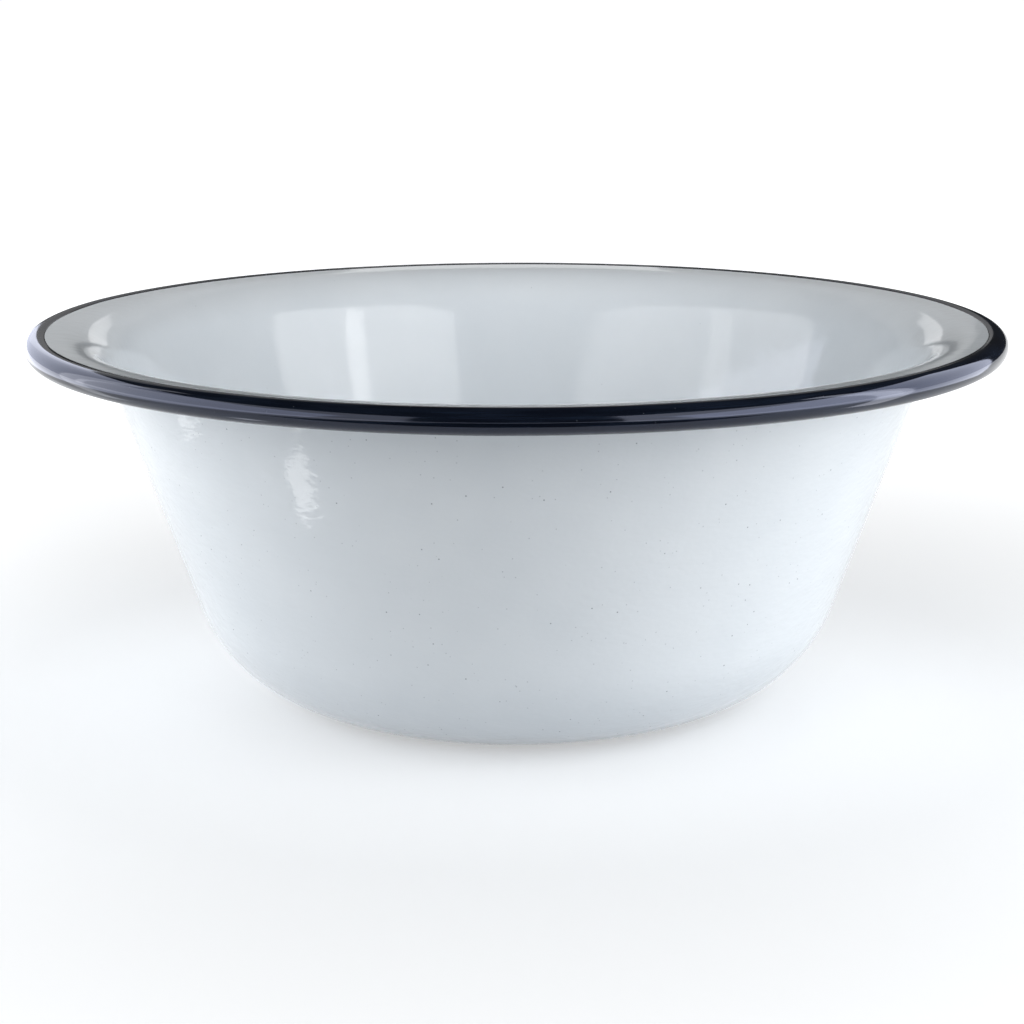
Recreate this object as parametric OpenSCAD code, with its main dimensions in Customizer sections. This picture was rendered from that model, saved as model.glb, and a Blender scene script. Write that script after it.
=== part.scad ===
// Enamelled steel basin: a deep pressed bowl with a flat flange and a rolled bead at its rim.
// One sheet of steel runs from the centre of the base to the end of the curl, and each coat of
// fired glass follows one of its two faces. Millimetres, +Z up, with the origin at the centre
// of the face that the basin stands on.

/* [Bowl] */
// Diameter over the rolled bead
basin_d = 360; // [320:1:420]
// Height from the standing face to the crown of the bead
basin_h = 140; // [115:1:180]
// Outer diameter of the flat ring that the basin stands on
foot_d = 135; // [110:1:160]
// Outside radius of the corner between base and wall
base_corner_r = 55.5; // [30:0.5:65]

/* [Base panel] */
// Width of the flat ring that the basin stands on
foot_w = 10; // [5:0.5:20]
// Rise of the panel inside the standing ring
panel_rise = 2; // [1:0.1:4]
// Radius of the two bends in the panel's step, at the middle of the wall
panel_bend_r = 5; // [3:0.5:8]

/* [Rim] */
// Radius of the shoulder where the wall turns out into the flange, on its upper face
shoulder_r = 20; // [10:0.5:25]
// Width of the straight flange between the shoulder and the crown of the bead
flange_w = 9; // [5:0.5:14]
// Rise of the flange towards the bead, in degrees
flange_slope = 5; // [0:0.5:10]
// Diameter of the bead, over its enamel
bead_d = 8.8; // [7:0.1:12]
// Gap between the curled edge of the sheet and the underside of the flange
seam_gap = 0.6; // [0.3:0.1:1]
// Reach of the dark rim coat from the crown of the bead onto the flange
band_reach = 2.7; // [1.5:0.1:4.5]
// Width over which the rim coat thins out to its edge on the flange
band_feather = 0.5; // [0.2:0.1:1]

/* [Sheet and coats] */
// Thickness of the steel sheet
steel_t = 0.7; // [0.5:0.05:1]
// Thickness of each ground coat
ground_t = 0.15; // [0.1:0.01:0.25]
// Thickness of each white cover coat
cover_t = 0.25; // [0.15:0.01:0.4]
// Thickness of the dark coat over the white one on the bead
rim_t = 0.15; // [0.1:0.01:0.3]

/* [Hidden] */

steel_colour = "#6f757c";
ground_colour = "#23272f";
white_colour = "#eef1f4";
rim_colour = "#171c27";

// Facets of a full turn, and the angle between the points of a wide and of a narrow bend.
$fn = 180;
wide_bend_step = 4;
narrow_bend_step = 10;
// A point that would lie nearer than this share of a step to the end of its bend is left out.
least_step_share = 0.25;

// Each face of the wall is a depth above the lower face of the steel.
// Depth grows towards the inside of the bowl.
outside_face = -ground_t - cover_t;
outside_ground_face = -ground_t;
steel_low_face = 0;
steel_high_face = steel_t;
inside_ground_face = steel_t + ground_t;
inside_face = steel_t + ground_t + cover_t;
rim_face = inside_face + rim_t;
wall_t = inside_face - outside_face;
wall_middle = (inside_face + outside_face) / 2;

// Directions along the flange, outwards, and square to it, upwards.
along_flange = [cos(flange_slope), sin(flange_slope)];
up_from_flange = [-sin(flange_slope), cos(flange_slope)];

// Centres of the bends, as [radius from the axis, height].
bead_r = bead_d / 2;
white_bead_r = bead_r - rim_t;
bead_centre = [basin_d / 2 - bead_r, basin_h - bead_r];
shoulder_centre = bead_centre - flange_w * along_flange + (white_bead_r - shoulder_r) * up_from_flange;
corner_centre = [foot_d / 2, base_corner_r];
ring_bend_centre = [foot_d / 2 - foot_w, wall_t / 2 + panel_bend_r];
panel_turn = acos(1 - panel_rise / (2 * panel_bend_r));
panel_bend_centre = ring_bend_centre - 2 * panel_bend_r * [sin(panel_turn), cos(panel_turn)];
panel_z = panel_bend_centre[1] + panel_bend_r - wall_middle;

// The straight wall is the line that touches the base corner on one side and the shoulder on the other.
corner_to_shoulder = shoulder_centre - corner_centre;
wall_normal = atan2(corner_to_shoulder[1], corner_to_shoulder[0])
    - acos((base_corner_r + shoulder_r - wall_t) / norm(corner_to_shoulder));

// The curl turns on until its edge is seam_gap below the coated underside of the flange.
curl_start = 90 + flange_slope;
edge_turn = asin((white_bead_r - wall_t - seam_gap) / bead_r);
curl_end = flange_slope - edge_turn - 180;

// A bend is [centre, radius of the steel's lower face, growth of the radius with depth,
// first angle, last angle, angle between points].
panel_bend = [panel_bend_centre, panel_bend_r - wall_middle, 1, 90, 90 - panel_turn, narrow_bend_step];
ring_bend = [ring_bend_centre, panel_bend_r + wall_middle, -1, 270 - panel_turn, 270, narrow_bend_step];
corner_bend = [corner_centre, base_corner_r + outside_face, -1, 270, 360 + wall_normal, wide_bend_step];
shoulder_bend = [shoulder_centre, shoulder_r - inside_face, 1, 180 + wall_normal, curl_start, wide_bend_step];
curl_bend = [bead_centre, white_bead_r - inside_face, 1, curl_start, curl_end, narrow_bend_step];

function backwards(list) = [for (i = [len(list) - 1:-1:0]) list[i]];

// Angles from first to last, by way of the whole multiples of step that lie between them.
function stops(first, last, step) =
    let (
        low = ceil(min(first, last) / step + least_step_share),
        high = floor(max(first, last) / step - least_step_share),
        between = [for (k = [low:high]) k * step]
    )
    concat([first], first < last ? between : backwards(between), [last]);

// Points of a bend at a depth.
function along_bend(bend, depth) =
    [for (a = stops(bend[3], bend[4], bend[5])) bend[0] + (bend[1] + bend[2] * depth) * [cos(a), sin(a)]];

// Point of the flange at a depth, that far in from the crown of the bead.
function on_flange(depth, reach) =
    bead_centre + (white_bead_r - inside_face + depth) * up_from_flange - reach * along_flange;

// Face of the sheet or of a coat at a depth, from the axis to the end of the curl.
function whole_face(depth) = concat(
    [[0, panel_z + depth]],
    along_bend(panel_bend, depth),
    along_bend(ring_bend, depth),
    along_bend(corner_bend, depth),
    along_bend(shoulder_bend, depth),
    along_bend(curl_bend, depth)
);

// Face of the dark band at a depth, from that far in on the flange to the end of the curl.
function band_face(depth, reach) = concat([on_flange(depth, reach)], along_bend(curl_bend, depth));

// Round body between two faces, each given by its points from the inside out.
module turned(low_face, high_face) {
    rotate_extrude()
        polygon(concat(low_face, backwards(high_face)));
}

// Pressed sheet: base panel, standing ring, corner, wall, shoulder, flange and hollow curl.
module steel_bowl() {
    color(steel_colour)
        turned(whole_face(steel_low_face), whole_face(steel_high_face));
}

// Dark first coat on the upper face of the sheet, which turns to the outside of the curl.
module ground_coat_inside() {
    color(ground_colour)
        turned(whole_face(steel_high_face), whole_face(inside_ground_face));
}

// Dark first coat on the lower face of the sheet, which lines the hollow of the curl.
module ground_coat_outside() {
    color(ground_colour)
        turned(whole_face(outside_ground_face), whole_face(steel_low_face));
}

// White cover coat inside the bowl, over the flange and round the bead.
module white_coat_inside() {
    color(white_colour)
        turned(whole_face(inside_ground_face), whole_face(inside_face));
}

// White cover coat under the base, up the wall, below the flange and into the curl.
module white_coat_outside() {
    color(white_colour)
        turned(whole_face(outside_face), whole_face(outside_ground_face));
}

// Dark coat over the white of the bead, from its thin edge on the flange to the end of the curl.
module rim_coat() {
    color(rim_colour)
        turned(band_face(inside_face, band_reach), band_face(rim_face, band_reach - band_feather));
}

steel_bowl();
ground_coat_inside();
ground_coat_outside();
white_coat_inside();
white_coat_outside();
rim_coat();
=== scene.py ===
"""Enamelled steel basin: the fired coats of glass that show, over the pressed sheet that carries them."""

import math
from typing import NamedTuple

import bmesh
import bpy
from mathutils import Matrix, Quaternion, Vector, noise


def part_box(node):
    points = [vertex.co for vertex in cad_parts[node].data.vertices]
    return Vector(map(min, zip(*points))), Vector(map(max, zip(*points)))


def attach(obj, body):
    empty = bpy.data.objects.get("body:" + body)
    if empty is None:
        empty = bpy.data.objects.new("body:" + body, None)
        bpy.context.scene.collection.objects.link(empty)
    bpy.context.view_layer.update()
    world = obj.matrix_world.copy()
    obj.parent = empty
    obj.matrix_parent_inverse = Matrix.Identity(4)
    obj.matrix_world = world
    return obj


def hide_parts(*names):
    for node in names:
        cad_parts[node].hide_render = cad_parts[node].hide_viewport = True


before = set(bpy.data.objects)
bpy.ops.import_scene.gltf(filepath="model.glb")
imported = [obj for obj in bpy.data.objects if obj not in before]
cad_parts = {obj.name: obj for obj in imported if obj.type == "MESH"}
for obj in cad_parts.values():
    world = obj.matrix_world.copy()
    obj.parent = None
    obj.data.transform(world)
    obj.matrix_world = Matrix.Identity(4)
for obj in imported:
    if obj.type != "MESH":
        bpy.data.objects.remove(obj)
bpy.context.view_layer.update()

bl_info = {
    "name": "Enamel basin",
    "version": (1, 0, 0),
    "blender": (4, 5, 0),
    "location": "3D View > Sidebar > Basin",
    "description": "Builds the enamel coats of a rolled-rim steel basin on its frame, with a plain studio",
    "category": "Object",
}

MM = 0.001

# The bead is the outermost and highest part, so the frame gives the rim's diameter and the height.
RIM_LOW, RIM_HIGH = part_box("rim_coat")
FRAME_RIM_D = RIM_HIGH.y - RIM_LOW.y
FRAME_HEIGHT = RIM_HIGH.z

# The photograph's frame, in pixels.
IMAGE_SIZE = 1024


def linear(hex_colour):
    """Turn an sRGB hex colour into linear red, green and blue."""
    channels = [int(hex_colour[i:i + 2], 16) / 255 for i in (1, 3, 5)]
    return tuple(c / 12.92 if c <= 0.04045 else ((c + 0.055) / 1.055) ** 2.4 for c in channels)


def length(name, description, default_mm):
    """A length property, given in millimetres and kept in metres."""
    return bpy.props.FloatProperty(
        name=name, description=description, default=default_mm * MM, unit="LENGTH", precision=5)


def colour(name, description, default):
    """A colour property, given as an sRGB hex value and kept linear."""
    return bpy.props.FloatVectorProperty(
        name=name, description=description, default=linear(default), subtype="COLOR", min=0, max=1)


class BasinSizes(bpy.types.PropertyGroup):
    """Sizes of the pressed bowl, its bead and its coats."""

    rim_d: length("Rim diameter", "Diameter over the rolled bead", FRAME_RIM_D / MM)
    height: length("Height", "From the standing face to the crown of the bead", FRAME_HEIGHT / MM)
    foot_d: length("Foot diameter", "Outer diameter of the flat standing ring", 135)
    foot_w: length("Foot width", "Width of the flat standing ring", 10)
    panel_rise: length("Panel rise", "Rise of the panel inside the standing ring", 2)
    panel_bend_r: length("Panel bend", "Radius of the panel's two bends, at the middle of the wall", 5)
    corner_r: length("Base corner", "Outside radius between base and wall", 55.5)
    shoulder_r: length("Shoulder", "Radius between wall and flange, on the upper face", 20)
    flange_w: length("Flange width", "Straight flange between the shoulder and the bead's crown", 9)
    flange_slope: bpy.props.FloatProperty(
        name="Flange slope", description="Rise of the flange towards the bead",
        default=math.radians(5), subtype="ANGLE")
    bead_d: length("Bead diameter", "Diameter of the bead over its enamel", 8.8)
    seam_gap: length("Seam gap", "Gap between the curled edge and the underside of the flange", 0.6)
    band_reach: length("Band reach", "Reach of the dark coat onto the flange", 2.7)
    band_feather: length("Band feather", "Width over which the dark coat thins out", 0.5)
    band_waver: length("Band waver", "How far the brushed edge of the dark coat strays", 0.35)
    steel_t: length("Steel", "Thickness of the sheet", 0.7)
    ground_t: length("Ground coat", "Thickness of each ground coat", 0.15)
    cover_t: length("White coat", "Thickness of each white coat", 0.25)
    rim_t: length("Rim coat", "Thickness of the dark coat on the bead", 0.15)
    sheet_waver: length("Sheet waver", "Unevenness that the press leaves in the sheet", 0.05)


class BasinColours(bpy.types.PropertyGroup):
    """Colours of the enamels and of the sheet."""

    white: colour("White enamel", "Cool white of the cover coat", "#EDF3F8")
    white_thin: colour("Thin white", "White where the ground shows through a thinner coat", "#DAE2E9")
    speck: colour("Pinhole", "Ground coat at the bottom of a pinhole", "#3F5569")
    scuff: colour("Scuff", "Grey rubbed into the standing ring", "#8B9096")
    rim: colour("Rim enamel", "Navy black of the bead", "#0E131E")
    rim_thin: colour("Thin rim enamel", "Rim coat where the brush left it thin", "#1B2433")
    rim_sheen: colour("Rim sheen", "Lavender cast of the rim coat's reflections", "#DDE4FF")
    ground: colour("Ground enamel", "Blue black of the first coat", "#23272F")
    ground_light: colour("Ground bubbles", "Paler flecks of the first coat", "#39414F")
    steel: colour("Steel", "Pickled low-carbon sheet", "#8A9097")
    steel_dark: colour("Steel stain", "Darker patches left by the pickling", "#666C74")
    floor: colour("Floor", "Matt pale card under the basin", "#CACDD0")
    flag: colour("Flag", "Black cloth on the camera's side", "#0B0B0C")


def profile_geometry(sizes):
    """Centres, angles and depths that every face of the sheet and of its coats follows.

    A face is a depth above the lower face of the steel, and depth grows towards the inside of the bowl.
    Points are [radius from the axis, height].
    """
    inside = sizes.steel_t + sizes.ground_t + sizes.cover_t
    outside = -sizes.ground_t - sizes.cover_t
    wall_t = inside - outside
    middle = (inside + outside) / 2
    slope = sizes.flange_slope
    along = Vector((math.cos(slope), math.sin(slope)))
    up = Vector((-math.sin(slope), math.cos(slope)))
    bead_r = sizes.bead_d / 2
    white_bead_r = bead_r - sizes.rim_t
    bead = Vector((sizes.rim_d / 2 - bead_r, sizes.height - bead_r))
    shoulder = bead - sizes.flange_w * along + (white_bead_r - sizes.shoulder_r) * up
    corner = Vector((sizes.foot_d / 2, sizes.corner_r))
    ring = Vector((sizes.foot_d / 2 - sizes.foot_w, wall_t / 2 + sizes.panel_bend_r))
    panel_turn = math.acos(1 - sizes.panel_rise / (2 * sizes.panel_bend_r))
    panel = ring - 2 * sizes.panel_bend_r * Vector((math.sin(panel_turn), math.cos(panel_turn)))
    across = shoulder - corner
    wall_normal = math.atan2(across.y, across.x) - math.acos(
        (sizes.corner_r + sizes.shoulder_r - wall_t) / across.length)
    curl_start = math.pi / 2 + slope
    curl_end = slope - math.pi - math.asin((white_bead_r - wall_t - sizes.seam_gap) / bead_r)
    quarter = math.pi / 2
    return {
        "inside": inside,
        "outside": outside,
        "rim": inside + sizes.rim_t,
        "along": along,
        "up": up,
        "bead": bead,
        "panel_z": panel.y + sizes.panel_bend_r - middle,
        "white_bead_r": white_bead_r,
        # A bend is its centre, radius at depth 0, growth of that radius with depth, first and last angle.
        "bends": {
            "panel": (panel, sizes.panel_bend_r - middle, 1, quarter, quarter - panel_turn),
            "ring": (ring, sizes.panel_bend_r + middle, -1, 3 * quarter - panel_turn, 3 * quarter),
            "corner": (corner, sizes.corner_r + outside, -1, 3 * quarter, 4 * quarter + wall_normal),
            "shoulder": (shoulder, sizes.shoulder_r - inside, 1, 2 * quarter + wall_normal, curl_start),
            "curl": (bead, white_bead_r - inside, 1, curl_start, curl_end),
        },
    }


# Spacing of the mesh: along straight stretches, along bends, and round the axis. Closer vertices are merged.
LINE_STEP = 4 * MM
BEND_STEP = 3 * MM
BEND_ANGLE_STEP = math.radians(9)
TURN_STEPS = 288
MERGE_DISTANCE = 0.001 * MM


def draw_line(bm, pen, end):
    """Draw a straight stretch of the profile from the pen to end, and return the new pen."""
    target = Vector((end.x, 0, end.y))
    way = target - pen.co
    steps = max(1, math.ceil(way.length / LINE_STEP))
    for _ in range(steps):
        pen = bmesh.ops.extrude_vert_indiv(bm, verts=[pen])["verts"][0]
        bmesh.ops.translate(bm, verts=[pen], vec=way / steps)
    return pen


def draw_bend(bm, pen, bend, depth):
    """Draw a bend of the profile at a depth, after the straight stretch that leads to it. Return the pen."""
    centre, radius, growth, first, last = bend
    r = radius + growth * depth
    pen = draw_line(bm, pen, centre + r * Vector((math.cos(first), math.sin(first))))
    turn = last - first
    steps = max(2, math.ceil(abs(turn) * r / BEND_STEP), math.ceil(abs(turn) / BEND_ANGLE_STEP))
    spun = bmesh.ops.spin(
        bm, geom=[pen], cent=(centre.x, 0, centre.y), axis=(0, -1, 0), angle=turn, steps=steps)
    return next(g for g in spun["geom_last"] if isinstance(g, bmesh.types.BMVert))


def whole_profile(bm, geometry, depth):
    """Draw a face at a depth from the axis to the end of the curl."""
    pen = bm.verts.new((0, 0, geometry["panel_z"] + depth))
    for bend in geometry["bends"].values():
        pen = draw_bend(bm, pen, bend, depth)


def band_profile(bm, geometry, sizes):
    """Draw the dark coat's outer face, from its thin edge on the flange to the end of the curl."""
    flange = geometry["bead"] + geometry["white_bead_r"] * geometry["up"]
    edge = flange - sizes.band_reach * geometry["along"]
    full = flange - (sizes.band_reach - sizes.band_feather) * geometry["along"] + sizes.rim_t * geometry["up"]
    pen = bm.verts.new((edge.x, 0, edge.y))
    pen = draw_line(bm, pen, full)
    draw_bend(bm, pen, geometry["bends"]["curl"], geometry["rim"])


def turn_sheet(bm, faces_up):
    """Turn the drawn profile round the axis, close it, and point its faces to the side that shows."""
    bmesh.ops.spin(
        bm, geom=bm.verts[:] + bm.edges[:], cent=(0, 0, 0), axis=(0, 0, 1),
        angle=2 * math.pi, steps=TURN_STEPS, use_merge=True)
    bmesh.ops.remove_doubles(bm, verts=bm.verts[:], dist=MERGE_DISTANCE)
    bmesh.ops.recalc_face_normals(bm, faces=bm.faces[:])
    bm.normal_update()
    inmost = min(bm.faces, key=lambda f: f.calc_center_median().xy.length)
    if (inmost.normal.z > 0) != faces_up:
        bmesh.ops.reverse_faces(bm, faces=bm.faces[:])
    bm.normal_update()


# The press leaves shallow waves this long, and the coats follow them.
WAVE_LENGTH = 45 * MM
RIPPLE_LENGTH = 16 * MM
RIPPLE_SHARE = 0.3


def sheet_wave(place):
    """Unevenness of the sheet at a place, from about -1 to 1."""
    return noise.noise(place / WAVE_LENGTH) + RIPPLE_SHARE * noise.noise(place / RIPPLE_LENGTH)


def waver(bm, amount):
    """Move each vertex along its normal by the unevenness of the sheet."""
    for vert in bm.verts:
        vert.co += vert.normal * amount * sheet_wave(vert.co)


# The brushed edge of the dark band strays slowly, over about this length of the rim.
BAND_WAVER_LENGTH = 60 * MM
BAND_RIPPLE_LENGTH = 17 * MM
BAND_RIPPLE_SHARE = 0.35


def stray_band_edge(bm, sizes, geometry):
    """Let the inner edge of the dark band stray to and fro along the flange."""
    along = geometry["along"]
    full_r = geometry["bead"].x - (sizes.band_reach - sizes.band_feather) * along.x
    for vert in bm.verts:
        r = vert.co.xy.length
        if r > full_r + sizes.band_feather / 2 or vert.co.z < geometry["bead"].y:
            continue
        ring = Vector((vert.co.x, vert.co.y, 0))
        stray = noise.noise(ring / BAND_WAVER_LENGTH)
        stray += BAND_RIPPLE_SHARE * noise.noise(ring / BAND_RIPPLE_LENGTH)
        outwards = ring.normalized()
        vert.co += sizes.band_waver * stray * (along.x * outwards + along.y * Vector((0, 0, 1)))


def finish_piece(bm, name, thickness, material, node):
    """Make the drawn face an object of that thickness that stands for a node of the frame."""
    mesh = bpy.data.meshes.new(name)
    for face in bm.faces:
        face.smooth = True
    bm.to_mesh(mesh)
    bm.free()
    piece = bpy.data.objects.new(name, mesh)
    bpy.context.scene.collection.objects.link(piece)
    piece.data.materials.append(material)
    solid = piece.modifiers.new("Coat thickness", "SOLIDIFY")
    solid.thickness = thickness
    solid.offset = -1
    solid.use_even_offset = True
    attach(piece, "root")
    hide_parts(node)


def add_node(tree, kind, inputs=None, **settings):
    """Add a node with its settings, and set each input to a value or link it to a socket."""
    made = tree.nodes.new(kind)
    for name, value in settings.items():
        setattr(made, name, value)
    for name, value in (inputs or {}).items():
        if isinstance(value, bpy.types.NodeSocket):
            tree.links.new(value, made.inputs[name])
        else:
            made.inputs[name].default_value = value
    return made


def new_material(name):
    """Start a material and return it with its tree, its shader and the piece's own coordinates."""
    material = bpy.data.materials.new(name)
    material.use_nodes = True
    tree = material.node_tree
    shader = tree.nodes["Principled BSDF"]
    place = add_node(tree, "ShaderNodeTexCoord").outputs["Object"]
    return material, tree, shader, place


def per_metre(size_mm):
    """Scale of a pattern whose marks are that many millimetres apart."""
    return 1 / (size_mm * MM)


def opaque(rgb):
    """Add full alpha to a colour."""
    return (*rgb, 1)


# Sockets of a Mix node that is set to colours.
MIX_FACTOR = 0
MIX_A = 6
MIX_B = 7
MIX_RESULT = 2

GLASS_IOR = 1.52


def sprayed_white_enamel(colours, outside):
    """Titania-white vitreous enamel, sprayed and fired.

    It gives the eye a cool white with a wet gloss, a faint orange peel in the reflections, clouds where the
    coat is thinner over the dark ground, and scattered dark pinholes.
    """
    material, tree, shader, place = new_material(
        "white_vitreous_enamel_outside" if outside else "white_vitreous_enamel_inside")
    cloud_mm = 38
    clouds = add_node(tree, "ShaderNodeTexNoise", {
        "Vector": place, "Scale": per_metre(cloud_mm), "Detail": 3})
    cloud_share = add_node(tree, "ShaderNodeMapRange", {
        "Value": clouds.outputs["Fac"], "From Min": 0.35, "From Max": 0.75, "To Min": 0, "To Max": 0.3})
    tint = add_node(tree, "ShaderNodeMix", {
        MIX_FACTOR: cloud_share.outputs["Result"],
        MIX_A: opaque(colours.white),
        MIX_B: opaque(colours.white_thin)}, data_type="RGBA")
    surface = tint.outputs[MIX_RESULT]

    # Outside, many shallow pinholes that the glass nearly closed, and fewer open ones. Inside, some shallow
    # ones. Each kind is its spacing, its radius and the share of the dark ground that shows in it.
    pinholes = ((3.3, 0.3, 0.3), (6, 0.34, 0.65)) if outside else ((9, 0.3, 0.3),)
    hole_floor = 0.4
    for cell_mm, hole_mm, dark in pinholes:
        cells = add_node(tree, "ShaderNodeTexVoronoi", {"Vector": place, "Scale": per_metre(cell_mm)})
        hole = add_node(tree, "ShaderNodeMapRange", {
            "Value": cells.outputs["Distance"],
            "From Min": hole_floor * hole_mm / cell_mm, "From Max": hole_mm / cell_mm,
            "To Min": dark, "To Max": 0})
        specked = add_node(tree, "ShaderNodeMix", {
            MIX_FACTOR: hole.outputs["Result"], MIX_A: surface, MIX_B: opaque(colours.speck)},
            data_type="RGBA")
        surface = specked.outputs[MIX_RESULT]

    if outside:
        # The face that the basin stands on is scuffed, up to this height.
        full_scuff_mm, no_scuff_mm = 0.05, 0.35
        rub_mm = 2.2
        apart = add_node(tree, "ShaderNodeSeparateXYZ", {"Vector": place})
        low = add_node(tree, "ShaderNodeMapRange", {
            "Value": apart.outputs["Z"], "From Min": full_scuff_mm * MM, "From Max": no_scuff_mm * MM,
            "To Min": 1, "To Max": 0})
        rubs = add_node(tree, "ShaderNodeTexNoise", {
            "Vector": place, "Scale": per_metre(rub_mm), "Detail": 6})
        rubbed = add_node(tree, "ShaderNodeMapRange", {
            "Value": rubs.outputs["Fac"], "From Min": 0.52, "From Max": 0.72, "To Min": 0, "To Max": 0.5})
        share = add_node(tree, "ShaderNodeMath", {
            0: low.outputs["Result"], 1: rubbed.outputs["Result"]}, operation="MULTIPLY")
        scuffed = add_node(tree, "ShaderNodeMix", {
            MIX_FACTOR: share.outputs["Value"], MIX_A: surface, MIX_B: opaque(colours.scuff)},
            data_type="RGBA")
        surface = scuffed.outputs[MIX_RESULT]

    tree.links.new(surface, shader.inputs["Base Color"])
    haze_mm = 22
    glossiest, dullest = (0.02, 0.05) if outside else (0.05, 0.1)
    haze = add_node(tree, "ShaderNodeTexNoise", {"Vector": place, "Scale": per_metre(haze_mm), "Detail": 4})
    gloss = add_node(tree, "ShaderNodeMapRange", {
        "Value": haze.outputs["Fac"], "From Min": 0.3, "From Max": 0.7,
        "To Min": glossiest, "To Max": dullest})
    tree.links.new(gloss.outputs["Result"], shader.inputs["Roughness"])

    # The glass flowed in soft swells round the bowl, with a finer orange peel on them, more so outside.
    swell_round_mm, swell_up_mm = 16, 7
    swell_depth_mm = 0.16 if outside else 0.05
    drawn_out = add_node(tree, "ShaderNodeMapping", {
        "Vector": place,
        "Scale": (per_metre(swell_round_mm), per_metre(swell_round_mm), per_metre(swell_up_mm))})
    flow = add_node(tree, "ShaderNodeTexNoise", {
        "Vector": drawn_out.outputs["Vector"], "Scale": 1, "Detail": 1})
    swells = add_node(tree, "ShaderNodeBump", {
        "Height": flow.outputs["Fac"], "Strength": 1, "Distance": swell_depth_mm * MM})
    peel_round_mm = 4
    peel_up_mm = 2 if outside else 4
    peel_depth_mm = 0.1 if outside else 0.05
    stretched = add_node(tree, "ShaderNodeMapping", {
        "Vector": place,
        "Scale": (per_metre(peel_round_mm), per_metre(peel_round_mm), per_metre(peel_up_mm))})
    peel = add_node(tree, "ShaderNodeTexNoise", {
        "Vector": stretched.outputs["Vector"], "Scale": 1, "Detail": 1.5})
    relief = add_node(tree, "ShaderNodeBump", {
        "Height": peel.outputs["Fac"], "Strength": 1, "Distance": peel_depth_mm * MM,
        "Normal": swells.outputs["Normal"]})
    pit_depth_mm = 0.05
    pits = add_node(tree, "ShaderNodeBump", {
        "Height": hole.outputs["Result"], "Strength": 1, "Distance": pit_depth_mm * MM,
        "Normal": relief.outputs["Normal"]}, invert=True)
    tree.links.new(pits.outputs["Normal"], shader.inputs["Normal"])
    shader.inputs["IOR"].default_value = GLASS_IOR
    return material


def brushed_navy_enamel(colours):
    """Navy-black bead enamel, brushed round the rim and fired.

    It gives the eye a near-black blue gloss whose reflections are drawn out into fine streaks round the bead,
    with a few pale dust specks and a thinner, bluer film where the brush left less.
    """
    material, tree, shader, place = new_material("navy_bead_enamel")
    round_mm, across_mm = 26, 0.9
    drawn_out = add_node(tree, "ShaderNodeMapping", {
        "Vector": place, "Scale": (per_metre(round_mm), per_metre(round_mm), per_metre(across_mm))})
    streaks = add_node(tree, "ShaderNodeTexNoise", {
        "Vector": drawn_out.outputs["Vector"], "Scale": 1, "Detail": 4})
    thin = add_node(tree, "ShaderNodeMapRange", {
        "Value": streaks.outputs["Fac"], "From Min": 0.4, "From Max": 0.75, "To Min": 0, "To Max": 0.8})
    film = add_node(tree, "ShaderNodeMix", {
        MIX_FACTOR: thin.outputs["Result"], MIX_A: opaque(colours.rim), MIX_B: opaque(colours.rim_thin)},
        data_type="RGBA")

    cell_mm, fleck_mm, fleck_core_mm = 4, 0.22, 0.066
    cells = add_node(tree, "ShaderNodeTexVoronoi", {"Vector": place, "Scale": per_metre(cell_mm)})
    fleck = add_node(tree, "ShaderNodeMapRange", {
        "Value": cells.outputs["Distance"],
        "From Min": fleck_core_mm / cell_mm, "From Max": fleck_mm / cell_mm,
        "To Min": 0.12, "To Max": 0})
    dusted = add_node(tree, "ShaderNodeMix", {
        MIX_FACTOR: fleck.outputs["Result"],
        MIX_A: film.outputs[MIX_RESULT],
        MIX_B: opaque(colours.white_thin)}, data_type="RGBA")
    tree.links.new(dusted.outputs[MIX_RESULT], shader.inputs["Base Color"])

    gloss = add_node(tree, "ShaderNodeMapRange", {
        "Value": streaks.outputs["Fac"], "From Min": 0.3, "From Max": 0.7, "To Min": 0.05, "To Max": 0.12})
    tree.links.new(gloss.outputs["Result"], shader.inputs["Roughness"])
    brush_depth_mm = 0.006
    brush = add_node(tree, "ShaderNodeBump", {
        "Height": streaks.outputs["Fac"], "Strength": 1, "Distance": brush_depth_mm * MM})
    tree.links.new(brush.outputs["Normal"], shader.inputs["Normal"])
    shader.inputs["IOR"].default_value = GLASS_IOR
    shader.inputs["Specular Tint"].default_value = opaque(colours.rim_sheen)
    return material


def cobalt_ground_enamel(colours):
    """Cobalt-bearing ground enamel, dipped and fired: blue black and glassy, with paler gas bubbles."""
    material, tree, shader, place = new_material("cobalt_ground_enamel")
    bubble_mm, bubble_depth_mm = 1.2, 0.02
    bubbles = add_node(tree, "ShaderNodeTexNoise", {
        "Vector": place, "Scale": per_metre(bubble_mm), "Detail": 4})
    share = add_node(tree, "ShaderNodeMapRange", {
        "Value": bubbles.outputs["Fac"], "From Min": 0.45, "From Max": 0.7, "To Min": 0, "To Max": 1})
    tint = add_node(tree, "ShaderNodeMix", {
        MIX_FACTOR: share.outputs["Result"],
        MIX_A: opaque(colours.ground),
        MIX_B: opaque(colours.ground_light)}, data_type="RGBA")
    tree.links.new(tint.outputs[MIX_RESULT], shader.inputs["Base Color"])
    relief = add_node(tree, "ShaderNodeBump", {
        "Height": bubbles.outputs["Fac"], "Strength": 1, "Distance": bubble_depth_mm * MM})
    tree.links.new(relief.outputs["Normal"], shader.inputs["Normal"])
    shader.inputs["Roughness"].default_value = 0.25
    shader.inputs["IOR"].default_value = GLASS_IOR
    return material


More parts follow.
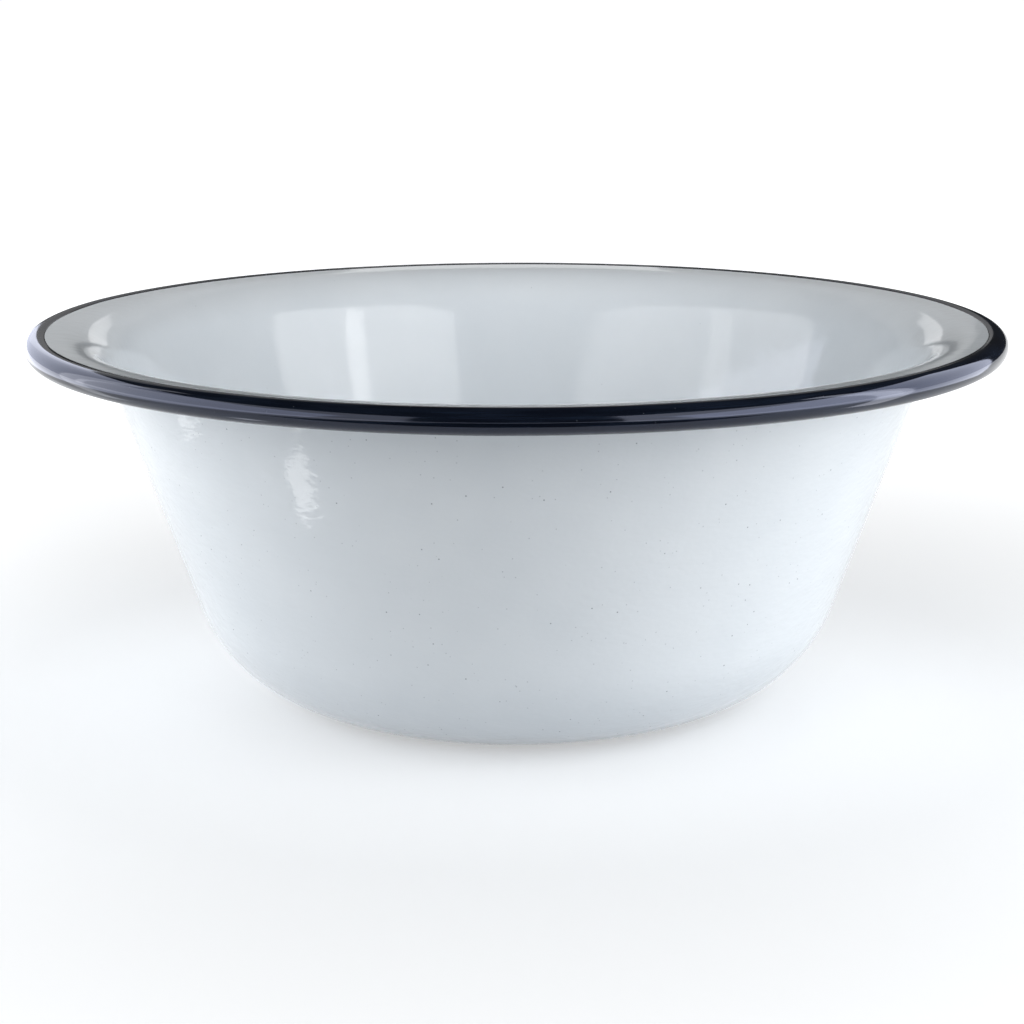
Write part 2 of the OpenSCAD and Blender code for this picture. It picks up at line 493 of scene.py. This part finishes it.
def pickled_steel(colours):
    """Low-carbon steel sheet, deep drawn and pickled in acid: dull grey metal with cloudy darker stains."""
    material, tree, shader, place = new_material("pickled_steel_sheet")
    stain_mm = 14
    stains = add_node(tree, "ShaderNodeTexNoise", {
        "Vector": place, "Scale": per_metre(stain_mm), "Detail": 5})
    tint = add_node(tree, "ShaderNodeMix", {
        MIX_FACTOR: stains.outputs["Fac"], MIX_A: opaque(colours.steel), MIX_B: opaque(colours.steel_dark)},
        data_type="RGBA")
    tree.links.new(tint.outputs[MIX_RESULT], shader.inputs["Base Color"])
    etch_mm, etch_depth_mm = 0.6, 0.01
    etch = add_node(tree, "ShaderNodeTexNoise", {"Vector": place, "Scale": per_metre(etch_mm), "Detail": 3})
    gloss = add_node(tree, "ShaderNodeMapRange", {
        "Value": etch.outputs["Fac"], "From Min": 0.3, "From Max": 0.7, "To Min": 0.4, "To Max": 0.6})
    tree.links.new(gloss.outputs["Result"], shader.inputs["Roughness"])
    relief = add_node(tree, "ShaderNodeBump", {
        "Height": etch.outputs["Fac"], "Strength": 1, "Distance": etch_depth_mm * MM})
    tree.links.new(relief.outputs["Normal"], shader.inputs["Normal"])
    shader.inputs["Metallic"].default_value = 1
    return material


def seen_rays(tree):
    """Socket that is 1 for what the eye sees, directly, mirrored or through glass, and 0 for other light."""
    ray = add_node(tree, "ShaderNodeLightPath")
    mirror = add_node(tree, "ShaderNodeMath", {
        0: ray.outputs["Is Glossy Ray"], 1: ray.outputs["Is Transmission Ray"]}, operation="MAXIMUM")
    seen = add_node(tree, "ShaderNodeMath", {
        0: ray.outputs["Is Camera Ray"], 1: mirror.outputs["Value"]}, operation="MAXIMUM")
    return seen.outputs["Value"]


def studio_card(colours):
    """Matt pale card. What the eye sees of it is near white, and it still takes the basin's shadow."""
    material, tree, shader, place = new_material("matt_white_card")
    fibre_mm = 2
    fibre = add_node(tree, "ShaderNodeTexNoise", {"Vector": place, "Scale": per_metre(fibre_mm), "Detail": 3})
    tint = add_node(tree, "ShaderNodeMapRange", {
        "Value": fibre.outputs["Fac"], "From Min": 0.3, "From Max": 0.7, "To Min": 0.98, "To Max": 1})
    shade = add_node(tree, "ShaderNodeVectorMath", {
        0: colours.floor, "Scale": tint.outputs["Result"]}, operation="SCALE")
    tree.links.new(shade.outputs["Vector"], shader.inputs["Base Color"])
    shader.inputs["Roughness"].default_value = 1
    shader.inputs["Specular IOR Level"].default_value = 0

    distance = add_node(tree, "ShaderNodeVectorMath", {0: place}, operation="LENGTH")
    glow = add_node(tree, "ShaderNodeMapRange", {
        "Value": distance.outputs["Value"], "From Min": NEAR_FLOOR, "From Max": FAR_FLOOR,
        "To Min": NEAR_GLOW, "To Max": 1})
    strength = add_node(tree, "ShaderNodeMath", {
        0: seen_rays(tree), 1: glow.outputs["Result"]}, operation="MULTIPLY")
    tree.links.new(strength.outputs["Value"], shader.inputs["Emission Strength"])
    shader.inputs["Emission Color"].default_value = (1, 1, 1, 1)
    return material


def black_cloth(colours):
    """Black studio cloth, which takes light away and leaves the front of the bead dark."""
    material, tree, shader, place = new_material("black_cloth")
    weave_mm = 1.5
    weave = add_node(tree, "ShaderNodeTexNoise", {"Vector": place, "Scale": per_metre(weave_mm), "Detail": 2})
    tint = add_node(tree, "ShaderNodeMapRange", {
        "Value": weave.outputs["Fac"], "From Min": 0.3, "From Max": 0.7, "To Min": 0.7, "To Max": 1})
    shade = add_node(tree, "ShaderNodeVectorMath", {
        0: colours.flag, "Scale": tint.outputs["Result"]}, operation="SCALE")
    tree.links.new(shade.outputs["Vector"], shader.inputs["Base Color"])
    shader.inputs["Roughness"].default_value = 1
    shader.inputs["Specular IOR Level"].default_value = 0
    return material


# The card glows less near the basin, where the shadow shows, and is white from the far distance on.
NEAR_FLOOR = 0.2
FAR_FLOOR = 0.65
NEAR_GLOW = 0.42
FLOOR_SIDE = 40
FLOOR_DROP = 0.05 * MM
# The cloth lies on the card on the camera's side. The camera doesn't see it, and the basin mirrors it.
FLAG_WIDTH = 0.8
FLAG_NEAR = 0.34
FLAG_FAR = 1.6
FLAG_LIFT = 1 * MM

# Camera of the photograph, fitted to the basin's outline.
CAMERA_DISTANCE = 0.918
CAMERA_ELEVATION = math.radians(12.98)
CAMERA_ROLL = math.radians(-0.12)
AIM_HEIGHT = 67.1 * MM
FOCAL_PIXELS = 2423
AXIS_PIXEL = 516.7
SENSOR_MM = 36


class SoftBox(NamedTuple):
    """Upright soft box that stands on the floor and faces the axis. Its bearing is in degrees from the front.

    Lengths are in metres here and in the other lamps, and a radiance of 1 is white.
    """

    bearing: float
    distance: float
    height: float
    width: float
    radiance: float


class SideStrip(NamedTuple):
    """Strip along a side of the basin, from a front to a back y, that leans to face a height on the axis."""

    side: float
    front: float
    back: float
    middle_height: float
    width: float
    faced_height: float
    radiance: float
    tint: str


class LampPanel(NamedTuple):
    """Flat panel that faces the middle of the basin, or another place."""

    place: tuple
    size: tuple
    radiance: float


# Tall soft boxes to the right and to the left of the camera, which the inside mirrors.
SOFT_BOXES = {
    "softbox_right": SoftBox(bearing=55, distance=1.0, height=0.9, width=1.334, radiance=2.2),
    "softbox_left": SoftBox(bearing=-66, distance=1.0, height=0.9, width=1.925, radiance=1.45),
}
# Strips and tubes close to the two sides, which light up the gloss of the bead and leave its front dark.
STRIP_TINT = "#E2E7FA"
TUBE_TINT = "#FFFFFF"
SIDE_STRIPS = {
    "strip_right": SideStrip(0.225, -0.4, 0.0, 0.16, 0.13, 0.066, 2.6, STRIP_TINT),
    "strip_left": SideStrip(-0.225, -0.35, 0.2, 0.16, 0.13, 0.066, 1.8, STRIP_TINT),
    "tube_right": SideStrip(0.295, -0.15, -0.1, 0.19, 0.38, 0.19, 3.2, TUBE_TINT),
    "tube_left": SideStrip(-0.295, -0.045, 0.005, 0.19, 0.38, 0.19, 1.2, TUBE_TINT),
}
# Panels high behind the basin, which the flange mirrors, brighter in the middle than at its ends.
BACK_PANELS = {
    "back_panel_wide": LampPanel(place=(-0.15, 1.45, 0.7), size=(1.2, 0.9), radiance=0.26),
    "back_panel_middle": LampPanel(place=(-0.01, 1.4, 0.47), size=(0.26, 0.38), radiance=0.65),
}
# Fills light the hollow of the bowl, the two sides and the back. They have no mirror image.
FILLS = {
    "fill_high": LampPanel(place=(0.9, -0.6, 1.2), size=(1.0, 0.6), radiance=2.0),
    "fill_left": LampPanel(place=(-0.32, 0.02, 0.17), size=(0.48, 0.34), radiance=1.1),
    "fill_right": LampPanel(place=(0.32, -0.08, 0.17), size=(0.35, 0.34), radiance=0.85),
    "fill_back": LampPanel(place=(0, 1.2, 0.8), size=(1.4, 0.8), radiance=1.15),
}
PANEL_AIM = (0, 0, 0.1)
# A small low card beside the basin, which the wall mirrors as its one bright patch.
LOW_CARD = LampPanel(place=(-0.16, -0.147, 0.022), size=(0.022, 0.023), radiance=2.4)
LOW_CARD_AIM = (-0.07, -0.125, 0.106)
ROOM_LIGHT = 0.02


def add_card(name, front, back, height, width, material):
    """Add a flat sheet to the stage, from a front to a back y, at a height and of a width."""
    bm = bmesh.new()
    pen = bm.verts.new((-width / 2, front, height))
    pen = bmesh.ops.extrude_vert_indiv(bm, verts=[pen])["verts"][0]
    pen.co.y = back
    swept = bmesh.ops.extrude_edge_only(bm, edges=bm.edges[:])["geom"]
    far_side = [g for g in swept if isinstance(g, bmesh.types.BMVert)]
    bmesh.ops.translate(bm, verts=far_side, vec=(width, 0, 0))
    bmesh.ops.recalc_face_normals(bm, faces=bm.faces[:])
    mesh = bpy.data.meshes.new(name)
    bm.to_mesh(mesh)
    bm.free()
    card = bpy.data.objects.new(name, mesh)
    card.data.materials.append(material)
    bpy.context.scene.collection.objects.link(card)
    return card


def add_panel_lamp(name, panel, aim=PANEL_AIM):
    """Add a panel as an area lamp that faces aim and that the camera doesn't see."""
    data = bpy.data.lights.new(name, "AREA")
    data.shape = "RECTANGLE"
    data.size, data.size_y = panel.size
    # A flat lamp of power P and area A has a radiance of P / (pi A).
    data.energy = panel.radiance * math.pi * data.size * data.size_y
    lamp = bpy.data.objects.new(name, data)
    lamp.location = panel.place
    lamp.rotation_euler = (Vector(aim) - Vector(panel.place)).to_track_quat("-Z", "Y").to_euler()
    lamp.visible_camera = False
    bpy.context.scene.collection.objects.link(lamp)
    return lamp


def add_lamps():
    """Add the soft boxes, the strips and the panels. Some show only in the gloss, and the fills never do."""
    for name, box in SOFT_BOXES.items():
        turn = math.radians(box.bearing)
        middle = box.height / 2
        place = (box.distance * math.sin(turn), -box.distance * math.cos(turn), middle)
        add_panel_lamp(name, LampPanel(place, (box.width, box.height), box.radiance), (0, 0, middle))
    for name, strip in SIDE_STRIPS.items():
        y = (strip.front + strip.back) / 2
        panel = LampPanel(
            (strip.side, y, strip.middle_height), (strip.back - strip.front, strip.width), strip.radiance)
        lamp = add_panel_lamp(name, panel, (0, y, strip.faced_height))
        lamp.visible_diffuse = False
        lamp.data.color = linear(strip.tint)
    for name, panel in BACK_PANELS.items():
        add_panel_lamp(name, panel)
    for name, panel in FILLS.items():
        lamp = add_panel_lamp(name, panel)
        lamp.visible_glossy = False
    lamp = add_panel_lamp("low_card", LOW_CARD, LOW_CARD_AIM)
    lamp.visible_diffuse = False


def add_camera(scene):
    """Add the photograph's camera."""
    data = bpy.data.cameras.new("camera")
    data.sensor_width = SENSOR_MM
    data.lens = FOCAL_PIXELS / IMAGE_SIZE * SENSOR_MM
    data.shift_x = (IMAGE_SIZE / 2 - AXIS_PIXEL) / IMAGE_SIZE
    camera = bpy.data.objects.new("camera", data)
    aim = Vector((0, 0, AIM_HEIGHT))
    back = Vector((0, -math.cos(CAMERA_ELEVATION), math.sin(CAMERA_ELEVATION)))
    camera.location = aim + CAMERA_DISTANCE * back
    roll = Quaternion((0, 0, 1), CAMERA_ROLL)
    camera.rotation_euler = (back.to_track_quat("Z", "Y") @ roll).to_euler()
    scene.collection.objects.link(camera)
    scene.camera = camera


class BASIN_OT_white_inside(bpy.types.Operator):
    """White coat inside the bowl, over the flange and round the bead"""

    bl_idname = "basin.white_inside"
    bl_label = "Inside white coat"

    def execute(self, context):
        sizes = context.scene.basin_sizes
        geometry = profile_geometry(sizes)
        bm = bmesh.new()
        whole_profile(bm, geometry, geometry["inside"])
        turn_sheet(bm, faces_up=True)
        waver(bm, sizes.sheet_waver)
        material = sprayed_white_enamel(context.scene.basin_colours, outside=False)
        finish_piece(bm, "white_enamel_inside", sizes.cover_t, material, "white_coat_inside")
        return {"FINISHED"}


class BASIN_OT_white_outside(bpy.types.Operator):
    """White coat under the base, up the wall, below the flange and into the curl"""

    bl_idname = "basin.white_outside"
    bl_label = "Outside white coat"

    def execute(self, context):
        sizes = context.scene.basin_sizes
        geometry = profile_geometry(sizes)
        bm = bmesh.new()
        whole_profile(bm, geometry, geometry["outside"])
        turn_sheet(bm, faces_up=False)
        waver(bm, sizes.sheet_waver)
        material = sprayed_white_enamel(context.scene.basin_colours, outside=True)
        finish_piece(
            bm, "white_enamel_outside", sizes.cover_t, material, "white_coat_outside")
        return {"FINISHED"}


class BASIN_OT_rim_band(bpy.types.Operator):
    """Dark coat over the bead, with its brushed edge on the flange"""

    bl_idname = "basin.rim_band"
    bl_label = "Dark rim coat"

    def execute(self, context):
        sizes = context.scene.basin_sizes
        geometry = profile_geometry(sizes)
        bm = bmesh.new()
        band_profile(bm, geometry, sizes)
        turn_sheet(bm, faces_up=True)
        stray_band_edge(bm, sizes, geometry)
        bm.normal_update()
        waver(bm, sizes.sheet_waver)
        material = brushed_navy_enamel(context.scene.basin_colours)
        finish_piece(bm, "navy_rim_enamel", sizes.rim_t, material, "rim_coat")
        return {"FINISHED"}


class BASIN_OT_hidden_layers(bpy.types.Operator):
    """Finish of the steel sheet and of the two ground coats, which stay as the frame has them"""

    bl_idname = "basin.hidden_layers"
    bl_label = "Steel and ground coats"

    def execute(self, context):
        colours = context.scene.basin_colours
        ground = cobalt_ground_enamel(colours)
        finishes = {
            "steel_bowl": pickled_steel(colours),
            "ground_coat_inside": ground,
            "ground_coat_outside": ground,
        }
        for name, material in finishes.items():
            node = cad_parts[name]
            node.data.materials.clear()
            node.data.materials.append(material)
        return {"FINISHED"}


class BASIN_OT_stage(bpy.types.Operator):
    """Pale floor, black cloth, lamps, room light and the photograph's camera"""

    bl_idname = "basin.stage"
    bl_label = "Stage"

    def execute(self, context):
        scene = context.scene
        colours = scene.basin_colours
        add_card("floor", -FLOOR_SIDE / 2, FLOOR_SIDE / 2, -FLOOR_DROP, FLOOR_SIDE, studio_card(colours))
        flag = add_card("flag", -FLAG_NEAR, -FLAG_FAR, FLAG_LIFT, FLAG_WIDTH, black_cloth(colours))
        flag.visible_camera = False
        flag.visible_shadow = False
        add_lamps()
        world = bpy.data.worlds.new("Studio")
        world.use_nodes = True
        room = world.node_tree.nodes["Background"]
        room.inputs["Strength"].default_value = ROOM_LIGHT
        room.inputs["Color"].default_value = (1, 1, 1, 1)
        scene.world = world
        add_camera(scene)
        scene.view_settings.view_transform = "Standard"
        return {"FINISHED"}


class BASIN_PT_panel(bpy.types.Panel):
    """Sizes, colours and building steps of the basin"""

    bl_label = "Enamel basin"
    bl_idname = "BASIN_PT_panel"
    bl_space_type = "VIEW_3D"
    bl_region_type = "UI"
    bl_category = "Basin"

    def draw(self, context):
        layout = self.layout
        for group in (context.scene.basin_sizes, context.scene.basin_colours):
            box = layout.box()
            for name in group.__annotations__:
                box.prop(group, name)
        for step in STEPS:
            layout.operator(step.bl_idname)


STEPS = (
    BASIN_OT_stage,
    BASIN_OT_hidden_layers,
    BASIN_OT_white_inside,
    BASIN_OT_white_outside,
    BASIN_OT_rim_band,
)
CLASSES = (BasinSizes, BasinColours, *STEPS, BASIN_PT_panel)


def register():
    for cls in CLASSES:
        bpy.utils.register_class(cls)
    bpy.types.Scene.basin_sizes = bpy.props.PointerProperty(type=BasinSizes)
    bpy.types.Scene.basin_colours = bpy.props.PointerProperty(type=BasinColours)


def unregister():
    del bpy.types.Scene.basin_colours
    del bpy.types.Scene.basin_sizes
    for cls in reversed(CLASSES):
        bpy.utils.unregister_class(cls)


def main():
    """Build the basin and its stage."""
    register()
    bpy.ops.basin.stage()
    bpy.ops.basin.hidden_layers()
    bpy.ops.basin.white_inside()
    bpy.ops.basin.white_outside()
    bpy.ops.basin.rim_band()


if __name__ == "__main__":
    main()
